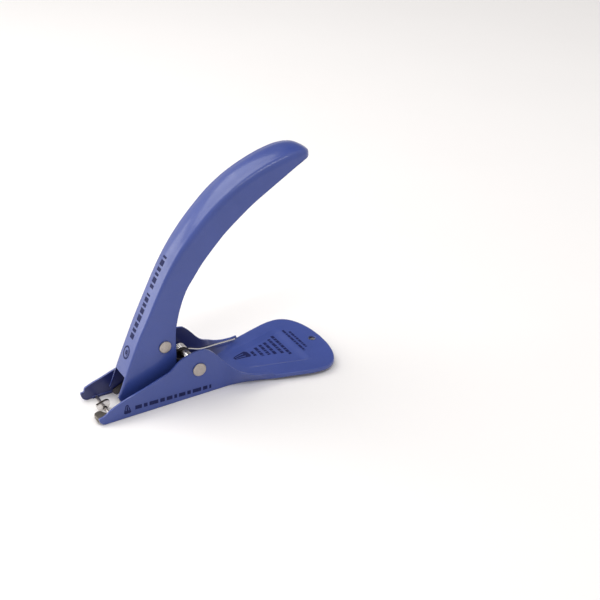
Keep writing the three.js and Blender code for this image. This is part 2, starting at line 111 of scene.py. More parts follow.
# Handle stations: front (spine) x, z, rear (wall edge) x, z, half-width, corner radius, crown.
HANDLE = [
    (-36.6, 2.1, -11.5, 8.2, 6.5, 1.2, 0.1), (-38.7, 4.2, -10.2, 11, 6.5, 1.2, 0.1),
    (-39.8, 8, -9.5, 15, 6.5, 1.2, 0.1), (-38.1, 11.8, -9, 18.5, 6.5, 1.2, 0.1),
    (-35.6, 17.8, -8.7, 22.8, 6.5, 1.2, 0.1), (-33.4, 23, -8.6, 26.8, 6.5, 1.2, 0.15),
    (-27.6, 36, -8.1, 36, 6.5, 1.2, 0.2), (-23.2, 44.7, -6.4, 44.3, 6.9, 1.3, 0.25),
    (-19.4, 52.3, -4.1, 51.1, 7, 1.5, 0.35), (-15.7, 59.6, -1.4, 57, 7.2, 1.7, 0.45),
    (-11.6, 67.2, 2.4, 62.6, 7.5, 2, 0.55), (-6.1, 75.8, 6.9, 68.9, 7.9, 2.3, 0.65),
    (1.1, 84.8, 12.5, 75.5, 8.5, 2.6, 0.8), (8.9, 92.9, 18.6, 81.8, 8.9, 2.9, 0.9),
    (17.4, 100.2, 25.4, 87.6, 9.4, 3.1, 1), (27, 106.4, 33.2, 93.5, 9.7, 3.3, 1.1),
    (37.1, 111.1, 41.6, 98.7, 9.9, 3.5, 1.2), (47, 114.3, 50, 103.7, 10, 3.6, 1.2),
    (54.7, 115.7, 56.7, 107.3, 9.6, 3.5, 1.1), (59.8, 115.5, 61.2, 109.2, 8.8, 3, 0.9),
    (63, 114.6, 63.7, 109.9, 7.7, 2.4, 0.6), (64.9, 113.6, 65.1, 110.1, 6.2, 1.9, 0.4),
    (66, 112.8, 66, 110.2, 4.7, 1.4, 0.25), (66.6, 112.2, 66.6, 110.4, 3.3, 0.9, 0.14),
    (67, 111.7, 67, 110.6, 1.9, 0.5, 0.06), (67.15, 111.3, 67.15, 110.9, 0.6, 0.15, 0.02),
]
SHARP_STATIONS = 7          # the stations of the handle's foot, which keeps its straight edges
PER_SPAN = 7                # sections between two stations
NOSE_SPANS = 7              # the spans at the tip, where the channel closes


# ---- curves and sections -----------------------------------------------------------------
def lerp(a, b, t):
    return a + (b - a) * t


def smooth(t):
    s = min(max(t, 0), 1)
    return s * s * (3 - 2 * s)


def table_curve(table):
    """A smooth curve through a table of (x, value) that never overshoots its rows."""
    xs, ys = zip(*table)
    steps = [(y1 - y0) / (x1 - x0) for x0, x1, y0, y1 in zip(xs, xs[1:], ys, ys[1:])]
    slopes = [steps[0]]
    for left, right in zip(steps, steps[1:]):
        slopes.append(2 * left * right / (left + right) if left * right > 0 else 0)
    slopes.append(steps[-1])

    def value(x):
        if x <= xs[0]:
            return ys[0]
        if x >= xs[-1]:
            return ys[-1]
        i = next(k for k in range(len(xs) - 1) if x <= xs[k + 1])
        h = xs[i + 1] - xs[i]
        t = (x - xs[i]) / h
        a = (1 + 2 * t) * (1 - t) ** 2 * ys[i] + t * (1 - t) ** 2 * h * slopes[i]
        return a + t * t * (3 - 2 * t) * ys[i + 1] + t * t * (t - 1) * h * slopes[i + 1]

    return value


def spline(points, per_span):
    """Points on a centripetal Catmull-Rom curve through vectors of any size."""
    pts = [tuple(p) for p in points]
    first = tuple(2 * a - b for a, b in zip(pts[0], pts[1]))
    last = tuple(2 * a - b for a, b in zip(pts[-1], pts[-2]))
    pts = [first] + pts + [last]
    out = []
    for i in range(1, len(pts) - 2):
        p0, p1, p2, p3 = pts[i - 1:i + 3]
        t1 = math.dist(p0, p1) ** 0.5
        t2 = t1 + math.dist(p1, p2) ** 0.5
        t3 = t2 + math.dist(p2, p3) ** 0.5
        for k in range(per_span):
            t = lerp(t1, t2, k / per_span)
            out.append(tuple(neville(t, t1, t2, t3, *q) for q in zip(p0, p1, p2, p3)))
    return out + [pts[-2]]


def neville(t, t1, t2, t3, a, b, c, d):
    ab = lerp(a, b, t / t1)
    bc = lerp(b, c, (t - t1) / (t2 - t1))
    cd = lerp(c, d, (t - t2) / (t3 - t2))
    left = lerp(ab, bc, t / t2)
    right = lerp(bc, cd, (t - t1) / (t3 - t1))
    return lerp(left, right, (t - t1) / (t2 - t1))


def rounded(corners, steps=4, closed=False):
    """Rounds a chain of (x, y, radius) corners; every inner corner gives steps + 1 points."""
    out = []
    count = len(corners)
    for i, (x, y, radius) in enumerate(corners):
        at = Vector((x, y))
        if not closed and i in (0, count - 1):
            out.append((x, y))
            continue
        back = Vector(corners[i - 1][:2]) - at
        on = Vector(corners[(i + 1) % count][:2]) - at
        turn = back.angle(on, 0)
        reach = min(radius / max(math.tan(turn / 2), 1e-3), 0.48 * back.length, 0.48 * on.length)
        start, end = at + back.normalized() * reach, at + on.normalized() * reach
        for k in range(steps + 1):
            t = k / steps
            p = start * (1 - t) ** 2 + at * 2 * t * (1 - t) + end * t * t
            out.append((p.x, p.y))
    return out


cheek_top = table_curve(CHEEK_TOP)
far_cheek_top = table_curve(FAR_CHEEK_TOP)
cheek_bottom = table_curve(CHEEK_BOTTOM)
cheek_lean = table_curve(CHEEK_LEAN)
field_half = table_curve(FIELD)


def plate_top(x):
    return lerp(SHEET, PLATE_TOP, smooth((x - FLAT_FLOOR_END) / FLOOR_RAMP))


def base_half_section(x, half, side):
    """One half of the base's section, from the centre line out and back, as (distance out, z)."""
    low = cheek_bottom(x)
    top = low + 0.4 if x < TIP_OPEN_END else plate_top(x)
    inner = half - SHEET
    top_edge = far_cheek_top if side > 0 else cheek_top
    edge = max(top_edge(x), top + 0.3)
    rise = smooth((x - FIELD_START) / FIELD_RISE)
    drop = FIELD_DEPTH * rise * (1 - smooth((x - FIELD_END) / FIELD_FALL))
    slope = FIELD_FAR_SLOPE if side > 0 and x < FAN_X else FIELD_NEAR_SLOPE
    ease = 0.9 if slope == FIELD_FAR_SLOPE else 0.5
    field = min(field_half(x), inner - slope - 3)
    lean = cheek_lean(x)
    if x < TAIL_END:
        above = min(top + 1.1, lerp(top, edge, 0.6))
        wall = inner + lean * (above - top) / (edge - top)
        rim = [(inner, top, 0.9), (wall, above, 0), (inner + lean, edge, 0.3), (half + lean, edge, 0.3)]
    else:
        settle = smooth((x - TAIL_END) / 6)
        foot = inner - 2 * settle
        over = foot + lerp(0.4, 1, settle)
        round_off = lerp(0.5, 1.5, settle)
        rim = [(foot, top, 0.1), (over, top, 0), (over + 0.2, top, 0)]
        rim += [(half + 0.3 * lean, top, round_off)]
    under = top - SHEET
    corners = [
        (0, top - drop, 0), (field, top - drop, ease), (field + slope, top, ease), *rim,
        (half, low, 0.7), (inner, low, 0.25), (inner - 0.25, max(under, low + 0.01), 0.2),
        (field + slope, under, 0.7), (field, under - drop, 0.7), (0, under - drop, 0),
    ]
    return rounded(corners)


def base_stations():
    """Centre-line x, ray x and half-width for each section of the base. The sections are closer
    together at the jaw tips."""
    tip_xs = [-52.4 + 0.2 * k for k in range(28)]
    arm_xs = [-46.85 + 0.75 * k for k in range(81)]
    stations = [(x, x, BASE_HALF) for x in tip_xs + arm_xs if x < 13.8]
    for x, half in spline(OUTLINE, 8):
        if abs(x - TAIL_END) > 0.4:
            stations.append((x, min(x, FAN_X), half))
    tail_half = table_curve(OUTLINE[:10])
    for x in (TAIL_END - 0.1, TAIL_END + 0.15):
        stations.append((x, x, tail_half(x)))
    return sorted(stations)


def place_base_section(station, side):
    x, ray, half = station
    reach = math.hypot(x - ray, half)
    dx, dy = (x - ray) / reach, half / reach
    return [(ray + out * dx, side * out * dy, z) for out, z in base_half_section(x, reach, side)]


def handle_section(station, is_nose):
    """The closed section of the handle's channel, as 3-D points."""
    fx, fz, rx, rz, half, corner, crown = station
    depth = math.hypot(fx - rx, fz - rz)
    radius = min(corner, 0.8 * depth - crown, 0.9 * half)
    web = depth * 0.75 if is_nose else min(SHEET, 0.6 * depth)
    wall = min(SHEET, 0.45 * half)
    outer = channel_half(depth, half, radius, crown)
    inner = channel_half(depth - web, half - wall, max(radius - SHEET, 0.3), min(crown, 0.5 * web))
    edge = [(0.3, half), (0.06, half - 0.1), (0, half - 0.35 * wall)]
    if is_nose:
        edge = [(0.05 * depth, half), (0.02 * depth, half - 0.05 * wall), (0, half - 0.3 * wall)]
    right = edge[::-1] + outer
    back = [(0, half - 0.7 * wall)]
    loop = [(q, -y) for q, y in right] + [(q, y) for q, y in right[::-1][1:]]
    loop += [(q, y) for q, y in back] + [(q, y) for q, y in inner]
    loop += [(q, -y) for q, y in inner[::-1][1:]] + [(q, -y) for q, y in back]
    ux, uz = (fx - rx) / depth, (fz - rz) / depth
    return [(rx + q * ux, y, rz + q * uz) for q, y in loop]


def channel_half(depth, half, corner, crown):
    """Half of one skin of the channel in (depth, y), from the wall edge to the middle of the spine."""
    corner = max(min(corner, 0.9 * (depth - crown), 0.95 * half), 0.01)
    base = depth - crown
    points = [(lerp(0.03, 0.95, t) * (base - corner), half) for t in (0, 0.3, 0.6, 1)]
    for k in range(8):
        a = k / 7 * math.pi / 2
        points.append((base - corner + corner * math.sin(a), half - corner + corner * math.cos(a)))
    flat = half - corner
    for k in range(1, 7):
        y = flat * (1 - k / 6)
        points.append((base + crown * (1 - (y / max(flat, 1e-6)) ** 2), y))
    return points


# ---- building meshes ---------------------------------------------------------------------
def new_object(name, verts, faces, scale=MM):
    mesh = bpy.data.meshes.new(name)
    mesh.from_pydata([tuple(c * scale for c in v) for v in verts], [], faces)
    obj = bpy.data.objects.new(name, mesh)
    bpy.context.scene.collection.objects.link(obj)
    clean(mesh)
    return obj


def clean(mesh):
    work = bmesh.new()
    work.from_mesh(mesh)
    bmesh.ops.remove_doubles(work, verts=work.verts, dist=1e-7)
    bmesh.ops.dissolve_degenerate(work, edges=work.edges, dist=1e-7)
    bmesh.ops.recalc_face_normals(work, faces=work.faces)
    work.to_mesh(mesh)
    work.free()


def skin(name, rows, close_rows=True, caps=True):
    """A mesh over rows of points. close_rows joins each row's last point to its first."""
    count = len(rows[0])
    verts = [p for row in rows for p in row]
    faces = []
    for i in range(len(rows) - 1):
        for j in range(count if close_rows else count - 1):
            k = (j + 1) % count
            faces.append((i * count + j, i * count + k, (i + 1) * count + k, (i + 1) * count + j))
    if caps:
        faces.append(tuple(range(count)))
        faces.append(tuple((len(rows) - 1) * count + j for j in range(count)))
    return new_object(name, verts, faces)


def shade(obj, degrees=38):
    """Smooth shading that stays sharp across real edges."""
    mesh = obj.data
    mesh.polygons.foreach_set("use_smooth", [True] * len(mesh.polygons))
    work = bmesh.new()
    work.from_mesh(mesh)
    limit = math.radians(degrees)
    for edge in work.edges:
        edge.smooth = len(edge.link_faces) == 2 and edge.calc_face_angle(0) < limit
    work.to_mesh(mesh)
    work.free()


def subtract(obj, *tools):
    """Cuts closed tools out of an object and bakes the result."""
    for tool in tools:
        modifier = obj.modifiers.new("cut", "BOOLEAN")
        modifier.operation = "DIFFERENCE"
        modifier.solver = "EXACT"
        modifier.object = tool
    bake(obj)
    for tool in tools:
        bpy.data.objects.remove(tool)


def bake(obj):
    graph = bpy.context.evaluated_depsgraph_get()
    baked = bpy.data.meshes.new_from_object(obj.evaluated_get(graph))
    obj.modifiers.clear()
    obj.data = baked


def prism(name, outline, low, high, axis="Z"):
    """A closed prism over a flat outline, standing along Z or lying along Y."""
    ends = []
    for level in (low, high):
        if axis == "Z":
            ends.append([(x, y, level) for x, y in outline])
        else:
            ends.append([(x, level, z) for x, z in outline])
    return skin(name, ends)


def lathe(name, profile, centre, segments=72):
    """A turned piece about an axis along Y through centre (x, z); profile rows are (radius, y)."""
    rows = []
    for r, y in profile:
        ring = [2 * math.pi * k / segments for k in range(segments)]
        rows.append([(centre[0] + r * math.cos(a), y, centre[1] + r * math.sin(a)) for a in ring])
    return skin(name, rows)


def flared_hole(name, centre, radius, low, high, flare):
    """A cutter for a hole along Z whose two rims are eased."""
    rows = []
    for z, r in ((low - 1, radius + flare), (low, radius + flare), (low + 1.1 * flare, radius),
                 (high - 1.1 * flare, radius), (high, radius + flare), (high + 1, radius + flare)):
        ring = [2 * math.pi * k / 64 for k in range(64)]
        rows.append([(centre + r * math.cos(a), r * math.sin(a), z) for a in ring])
    return skin(name, rows)


def arc(cx, cy, r, start, end, steps):
    angles = [math.radians(lerp(start, end, k / steps)) for k in range(steps + 1)]
    return [(cx + r * math.cos(a), cy + r * math.sin(a)) for a in angles]


# ---- base ----------------------------------------------------------------------------------
def make_base():
    stations = base_stations()
    near = [place_base_section(s, -1) for s in stations]
    far = [place_base_section(s, 1) for s in stations]
    verts, faces = [], []
    for rows in (near, far):
        start = len(verts)
        count = len(rows[0])
        verts.extend(p for row in rows for p in row)
        for i in range(len(rows) - 1):
            for j in range(count - 1):
                a = start + i * count + j
                faces.append((a, a + 1, a + count + 1, a + count))
        faces.append(tuple(start + j for j in range(count)))
    base = new_object("base_detail", verts, faces)
    r = SLOT_CORNER_R
    corner = FLOOR_FRONT - r
    slot = [(PAST_TIP, -JAW_SLOT_HALF)] + arc(corner, -JAW_SLOT_HALF + r, r, -90, 0, 12)
    slot += arc(corner, JAW_SLOT_HALF - r, r, 0, 90, 12) + [(PAST_TIP, JAW_SLOT_HALF)]
    inner = BASE_HALF - SHEET - 0.002
    stops = (PAST_TIP, -52.4, -52, -51.5, -50.7, -50, -49.4, TIP_OPEN_END)
    tip = [(x, cheek_bottom(x) + 0.6) for x in stops]
    tip += [(TIP_OPEN_END, -4), (PAST_TIP, -4)]
    x, radius = HANG_HOLE
    subtract(
        base,
        flared_hole("hang", x, radius, PLATE_TOP - SHEET, PLATE_TOP, 0.28),
        lathe("pivot_hole", [(HOLE_R, -20), (HOLE_R, 20)], PIVOT),
        prism("slot", slot, -4, 8),
        prism("tip", tip, -inner, inner, "Y"),
    )
    shade(base)
    return base


# ---- handle --------------------------------------------------------------------------------
def make_handle():
    foot = HANDLE[:SHARP_STATIONS]
    rows = [handle_section(s, False) for s in foot[:4]]
    body = spline(foot[4:] + HANDLE[SHARP_STATIONS:], PER_SPAN)
    nose_start = len(body) - NOSE_SPANS * PER_SPAN
    for i, station in enumerate(body):
        rows.append(handle_section(station, i >= nose_start))
    handle = skin("handle_detail", rows)
    inner = HANDLE_HALF - SHEET
    end = HANDLE[4][0]
    fork = [
        (-50, SPINE_END_Z), (end - 2, SPINE_END_Z + 0.5), (end + 6, SPINE_END_Z - 1.4), (end + 6, -4),
        (-50, -4),
    ]
    subtract(
        handle,
        prism("fork", fork, -inner, inner, "Y"),
        lathe("rivet_hole", [(HOLE_R, -12), (HOLE_R, 12)], RIVET),
    )
    shade(handle)
    return handle


# ---- rivets, spring and steel pieces --------------------------------------------------------
def make_rivet(name, centre, half_grip, head_size):
    """A rivet with a low head each side: an eased rim, a shallow shoulder and a faint crown."""
    radius, thickness = head_size
    face = half_grip + 0.12
    head = [
        (1.7, 0), (0.97 * radius - 0.15, 0), (radius - 0.06, 0.05), (radius, 0.2), (radius, 0.42),
        (radius - 0.05, 0.6), (radius - 0.2, 0.78), (radius - 0.42, 0.88), (radius - 0.62, 0.9),
        (radius - 0.72, 0.89), (radius - 0.95, 0.93), (0.5 * radius, 0.97), (0.25 * radius, 0.99),
        (0.02, 1),
    ]
    far = [(r, face + t * thickness) for r, t in head]
    near = [(r, -y) for r, y in far[::-1]]
    rivet = lathe(name, near + far, centre)
    shade(rivet, 50)
    return rivet


def tube(name, path, radius, sides=16):
    """A round wire swept along a path without twist, its ends eased."""
    points = [Vector(p) for p in path]
    side = Vector((0, 0, 1))
    rings = []
    last = len(points) - 1
    for i, at in enumerate(points):
        ahead = (points[min(i + 1, last)] - points[max(i - 1, 0)]).normalized()
        side = (side - ahead * side.dot(ahead)).normalized()
        other = ahead.cross(side)
        size = radius * (0.7 if i in (0, last) else 1)
        angles = [2 * math.pi * k / sides for k in range(sides)]
        rings.append([tuple(at + (side * math.cos(a) + other * math.sin(a)) * size) for a in angles])
    wire = skin(name, rings)
    shade(wire, 60)
    return wire


def spring_path():
    """The hook behind the handle's walls, the coil on the pivot, then the leg along the paddle."""
    route = [(-7.9, -2.5, 24), (-7.9, 1, 23.9), (-7.9, 4.4, 23.8), (-7.6, 5.6, 23.2)]
    route += [(-6.6, COIL_START_Y, 21.3)]
    for i in range((COIL_TO - COIL_FROM) // COIL_STEP + 1):
        a = math.radians(COIL_FROM + COIL_STEP * i)
        y = COIL_START_Y + i * COIL_STEP / 360 * COIL_PITCH
        route.append((PIVOT[0] + COIL_R * math.cos(a), y, PIVOT[1] + COIL_R * math.sin(a)))
    route += [(4.6, 10.6, 12.7), (11.1, 10.8, 10.4), (22.8, 13.9, 8), (34.6, 17, 5.7)]
    path = spline(route, 4)
    first, last = Vector(path[0]), Vector(path[-1])
    path[0:0] = [tuple(first + (first - Vector(path[1])).normalized() * 0.12)]
    path.append(tuple(last + (last - Vector(path[-2])).normalized() * 0.12))
    return path


def refine(node, width):
    """A copy of a CAD node with its edges eased."""
    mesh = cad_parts[node].data.copy()
    work = bmesh.new()
    work.from_mesh(mesh)
    bmesh.ops.remove_doubles(work, verts=work.verts, dist=2e-6)
    bmesh.ops.dissolve_limit(work, angle_limit=math.radians(1), verts=work.verts, edges=work.edges)
    limit = math.radians(35)
    sharp = [e for e in work.edges if len(e.link_faces) == 2 and e.calc_face_angle(0) > limit]
    ease = {"segments": 3, "profile": 0.6, "affect": "EDGES", "clamp_overlap": True}
    bmesh.ops.bevel(work, geom=sharp, offset=width * MM, **ease)
    clean_mesh = bpy.data.meshes.new(node + "_detail")
    work.to_mesh(clean_mesh)
    work.free()
    obj = bpy.data.objects.new(node + "_detail", clean_mesh)
    bpy.context.scene.collection.objects.link(obj)
    shade(obj, 42)
    return obj


def eased_plate(name, outline, low, high, ease, axis="Z"):
    """A plate over a smooth outline with rounded rims."""
    count = len(outline)
    normals = []
    for i in range(count):
        along = Vector(outline[(i + 1) % count]) - Vector(outline[i - 1])
        normals.append(Vector((along.y, -along.x)).normalized())
    pairs = [(outline[i - 1], outline[i]) for i in range(count)]
    sign = 1 if sum(a[0] * b[1] - b[0] * a[1] for a, b in pairs) > 0 else -1
    rows = []
    profile = [(ease, 0), (0.5 * ease, 0.07 * ease), (0.15 * ease, 0.35 * ease), (0, ease)]
    levels = [(inset, low + up) for inset, up in profile]
    levels += [(inset, high - up) for inset, up in profile[::-1]]
    for inset, level in levels:
        row = []
        for (u, v), normal in zip(outline, normals):
            u, v = u - sign * normal.x * inset, v - sign * normal.y * inset
            row.append((u, v, level) if axis == "Z" else (u, level, v))
        rows.append(row)
    plate = skin(name, rows)
    shade(plate, 50)
    return plate


def tongue_plate():
    """The thin upright blade that straddles the cross pin."""
    corners = [
        (-49.3, 3.1, 0.3), (-48.4, 0.5, 0.5), (-46.05, 0.5, 0.15), (-46, 1.0, 0.5), (-45.6, 1.8, 0.6),
        (-45, 1.95, 0.5), (-44.4, 1.8, 0.6), (-44, 1.0, 0.5), (-43.95, 0.5, 0.15), (-43.3, 0.5, 0.8),
        (-42.2, 2.4, 1.2), (-42.4, 4.4, 1), (-43.4, 5.05, 1), (-44.6, 5.05, 1.5), (-49, 3.75, 0.3),
    ]
    return eased_plate("tongue_detail", rounded(corners, 4, True), -0.65, 0.65, 0.14, "Y")


def foot_plate():
    """The flat steel tab inside the near jaw tip."""
    outer = -11.15
    outline = [(-47.2, outer), (-51, outer)] + arc(-51.3, outer + 1.4, 1.4, 265, 205, 6)
    outline += arc(-50.1, outer + 3.7, 2.65, 196, 62, 22) + [(-47.2, outer + 3.4)]
    return eased_plate("foot_tab_detail", outline, 1.4, 3.4, 0.28)


# ---- printed marks: plain shapes, no lettering ---------------------------------------------
class Printer:
    """Lays thin ink patches on a target mesh along one direction."""

    def __init__(self, target, place, direction):
        polygons = [tuple(p.vertices) for p in target.data.polygons]
        self.tree = BVHTree.FromPolygons([v.co for v in target.data.vertices], polygons)
        self.place = place
        self.direction = Vector(direction).normalized()
        self.verts = []
        self.faces = []

    def drop(self, u, v):
        origin = (Vector(self.place(u, v)) - self.direction * 12) * MM
        hit = self.tree.ray_cast(origin, self.direction)[0]
        return hit / MM - self.direction * 0.03

    def patch(self, corners, across=2, along=2):
        """Corners in order: the patch spans corner 0-1 and corner 3-2."""
        (u0, v0), (u1, v1), (u2, v2), (u3, v3) = corners
        start = len(self.verts)
        for j in range(along + 1):
            t = j / along
            for i in range(across + 1):
                s = i / across
                u = lerp(lerp(u0, u1, s), lerp(u3, u2, s), t)
                v = lerp(lerp(v0, v1, s), lerp(v3, v2, s), t)
                self.verts.append(tuple(self.drop(u, v)))
        for j in range(along):
            for i in range(across):
                a = start + j * (across + 1) + i
                self.faces.append((a, a + 1, a + across + 2, a + across + 1))

    def bar(self, start, end, width, cells=8):
        (u0, v0), (u1, v1) = start, end
        length = math.hypot(u1 - u0, v1 - v0)
        nu, nv = -(v1 - v0) / length * width / 2, (u1 - u0) / length * width / 2
        corners = [(u0 - nu, v0 - nv), (u1 - nu, v1 - nv), (u1 + nu, v1 + nv), (u0 + nu, v0 + nv)]
        self.patch(corners, cells, 2)

    def dashes(self, start, end, width, pattern, gap):
        """A broken bar: the pattern's dash lengths in turn, each followed by the gap."""
        (u0, v0), (u1, v1) = start, end
        length = math.hypot(u1 - u0, v1 - v0)
        at, k = 0, 0
        while at < length - 0.4:
            stop = min(at + pattern[k % len(pattern)], length)
            ends = [(lerp(u0, u1, t / length), lerp(v0, v1, t / length)) for t in (at, stop)]
            self.bar(*ends, width, max(2, round(stop - at)))
            at = stop + gap
            k += 1

    def ring(self, centre, inner, outer, start=0, end=360, stretch=1):
        steps = max(6, round((end - start) / 8))
        first = len(self.verts)
        for k in range(steps + 1):
            a = math.radians(lerp(start, end, k / steps))
            for r in (inner, outer):
                point = self.drop(centre[0] + r * math.cos(a) * stretch, centre[1] + r * math.sin(a))
                self.verts.append(tuple(point))
        for k in range(steps):
            a = first + 2 * k
            self.faces.append((a, a + 1, a + 3, a + 2))

    def shield(self, tip, tail, narrow, wide, wall):
        """A tapered shield with a slit each side of its middle bar."""
        (u0, v0), (u1, v1) = tip, tail
        length = math.hypot(u1 - u0, v1 - v0)
        du, dv = (u1 - u0) / length, (v1 - v0) / length
        start, stop = 0.6 * narrow, length - wall

        def at(along, share):
            reach = lerp(narrow, wide, (min(along, length) - start) / (length - start))
            side = sign * share * (reach if along > 0 else 0.6 * narrow)
            return (u0 + du * along - dv * side, v0 + dv * along + du * side)

        for sign in (-1, 1):
            self.patch([at(0, 0), at(start, 0), at(start, 1), at(0, 1)])
            self.patch([at(start, 0.55), at(stop, 0.6), at(stop, 1), at(start, 1)], 6, 2)
            self.patch([at(start, 0), at(stop, 0), at(stop, 0.3), at(start, 0.25)], 6, 2)
            self.patch([at(stop, 0), at(length, 0), at(length, 1), at(stop, 1)])
            foot = length + 0.35 * wide
            self.patch([at(length, 0), at(foot, 0), at(foot, 0.6), at(length, 1)])

    def finish(self, name):
        obj = new_object(name, self.verts, self.faces)
        wanted = -self.direction
        for polygon in obj.data.polygons:
            if polygon.normal.dot(wanted) < 0:
                polygon.flip()
        obj.data.polygons.foreach_set("use_smooth", [True] * len(obj.data.polygons))
        return obj


def paddle_print(target):
    ink = Printer(target, lambda u, v: (u, v, 8), (0, 0, -1))
    ink.shield((26.9, 3.1), (35, 4.3), 1.4, 3, 1.75)
    rows = [
        (38.1, 0.9, 5.6), (41.5, -1.2, 7.9), (44.8, -1.9, 9), (47.9, -3.2, 9.9), (51.5, -4, 11.6),
        (54.6, -7.6, 13.6), (61.9, -8.6, 14.6), (64.4, -6, 11.7),
    ]
    patterns = [(2.6, 1.6), (3.4, 1.4, 2.2), (1.8, 2.8, 1.2), (2.4, 3.2), (1.4, 2.2, 3.6)]
    for i, (x, low, high) in enumerate(rows):
        ink.dashes((x, high), (x, low), 1.7 if i < 6 else 1.3, patterns[i % len(patterns)], 0.5)
    return ink.finish("paddle_print")


def arm_print(target):
    ink = Printer(target, lambda u, v: (u, -15, v), (0, 1, 0))
    ink.shield((-38.2, 7.3), (-38.2, 3.1), 0.8, 1.9, 1.1)
    ink.dashes((-34.2, 4.5), (6, 3.2), 2.1, (3.4, 1.9, 4.6, 2.4, 3, 1.5), 1)
    return ink.finish("arm_print")


def spine_print(target):
    front = table_curve([(s[1], s[0]) for s in HANDLE[4:14]])
    ink = Printer(target, lambda u, v: (front(u), v, u), (0.9, 0, -0.43))
    ink.ring((27.6, 0.4), 2.3, 3.1)
    ink.ring((27.6, 0.4), 0.2, 1.1)
    ink.ring((27.6, 0.4), 1.5, 1.9, 200, 340)
    ink.dashes((34.4, 0.4), (55.5, 0.4), 3.6, (2.4, 1.5, 2, 2.8), 0.8)
    ink.dashes((58.2, 0.5), (72.8, 0.5), 3.6, (1.6, 2.4, 1.2), 0.9)
    return ink.finish("spine_print")


# ---- materials -----------------------------------------------------------------------------
class Surface:
    """A principled material with short helpers for its node tree."""

    def __init__(self, name):
        self.material = bpy.data.materials.new(name)
        self.material.use_nodes = True
        self.tree = self.material.node_tree
        self.shader = self.tree.nodes["Principled BSDF"]
        self.place = self.add("ShaderNodeTexCoord").outputs["Object"]

    def add(self, kind, inputs=None, **settings):
        node = self.tree.nodes.new(kind)
        for key, value in settings.items():
            setattr(node, key, value)
        for key, value in (inputs or {}).items():
            self.feed(node.inputs[key], value)
        return node

    def feed(self, socket, value):
        if isinstance(value, bpy.types.NodeSocket):
            self.tree.links.new(value, socket)
        else:
            socket.default_value = value

    def set(self, **inputs):
        for key, value in inputs.items():
            self.feed(self.shader.inputs[key.replace("_", " ")], value)

    def noise(self, scale, detail=3.0, roughness=0.5, stretch=(1, 1, 1)):
        mapping = self.add("ShaderNodeMapping", {"Vector": self.place, "Scale": stretch})
        inputs = {"Vector": mapping.outputs[0], "Scale": scale, "Detail": detail, "Roughness": roughness}
        return self.add("ShaderNodeTexNoise", inputs).outputs["Fac"]

    def spread(self, value, low, high, start=0.35, end=0.65):
        """Maps a 0-1 value onto another range."""
        inputs = {"Value": value, "From Min": start, "From Max": end, "To Min": low, "To Max": high}
        return self.add("ShaderNodeMapRange", inputs).outputs["Result"]

    def blend(self, factor, first, second):
        node = self.add("ShaderNodeMix", data_type="RGBA")
        self.feed(node.inputs["Factor"], factor)
        self.feed(node.inputs[6], first)
        self.feed(node.inputs[7], second)
        return node.outputs[2]

    def math(self, operation, first, second):
        return self.add("ShaderNodeMath", {0: first, 1: second}, operation=operation).outputs[0]

    def inward(self):
        """1 on faces that look towards the plane y = 0, and 0 elsewhere."""
        facing = self.add("ShaderNodeSeparateXYZ", {0: self.add("ShaderNodeTexCoord").outputs["Normal"]})
        side = self.add("ShaderNodeSeparateXYZ", {0: self.place})
        product = self.math("MULTIPLY", facing.outputs["Y"], self.math("SIGN", side.outputs["Y"], 0))
        return self.spread(product, 1, 0, -0.8, -0.45)

    def upward(self):
        """1 on faces that look up, and 0 on upright ones."""
        facing = self.add("ShaderNodeSeparateXYZ", {0: self.add("ShaderNodeTexCoord").outputs["Normal"]})
        return self.spread(facing.outputs["Z"], 0, 1, 0.45, 0.75)

    def bumps(self, *layers):
        """Stacks (height, strength, distance) layers into the normal."""
        normal = None
        for height, strength, distance in layers:
            inputs = {"Height": height, "Strength": strength, "Distance": distance}
            if normal is not None:
                inputs["Normal"] = normal
            normal = self.add("ShaderNodeBump", inputs).outputs[0]
        self.set(Normal=normal)


def colour(red, green, blue):
    return (red, green, blue, 1)


def make_paint():
    """Semi-gloss blue enamel: a fine orange peel, faint mottling, pale specks, and painted shade: a much
    darker blue on the faces that look towards the tool's centre plane."""
    paint = Surface("blue_enamel")
    broad = paint.noise(38, 4)
    speck = paint.noise(2600, 2)
    deep, pale = colour(0.026, 0.053, 0.250), colour(0.033, 0.062, 0.282)
    tone = paint.blend(paint.spread(broad, 0, 1), deep, pale)
    tone = paint.blend(paint.spread(speck, 0, 0.1), tone, colour(0.08, 0.11, 0.36))
    # Painted shade: faces turned towards the centre plane get a deep, dark blue instead of the enamel's
    # own tone.
    tone = paint.blend(paint.inward(), tone, colour(0.014, 0.020, 0.115))
    paint.set(Base_Color=tone, Roughness=paint.spread(paint.noise(160, 4), 0.33, 0.45), Metallic=0.0)
    paint.set(Coat_Weight=0.38, Coat_Roughness=0.13, IOR=1.5)
    paint.bumps((paint.noise(620, 2), 0.10, 0.0004), (speck, 0.06, 0.0001))
    return paint.material


def make_steel(name, light, dark, roughness, stretch, grain):
    """Bare steel with a directional grain and cloudy tone."""
    steel = Surface(name)
    lines = steel.noise(grain, 4, 0.6, stretch)
    cloud = steel.noise(420, 4)
    tone = steel.blend(steel.spread(lines, 0, 0.7), colour(*light), colour(*dark))
    tone = steel.blend(steel.spread(cloud, 0, 0.45), tone, colour(*dark))
    steel.set(Base_Color=tone, Metallic=1.0, Roughness=steel.spread(cloud, *roughness))
    steel.bumps((lines, 0.16, 0.00012), (cloud, 0.05, 0.0003))
    return steel.material


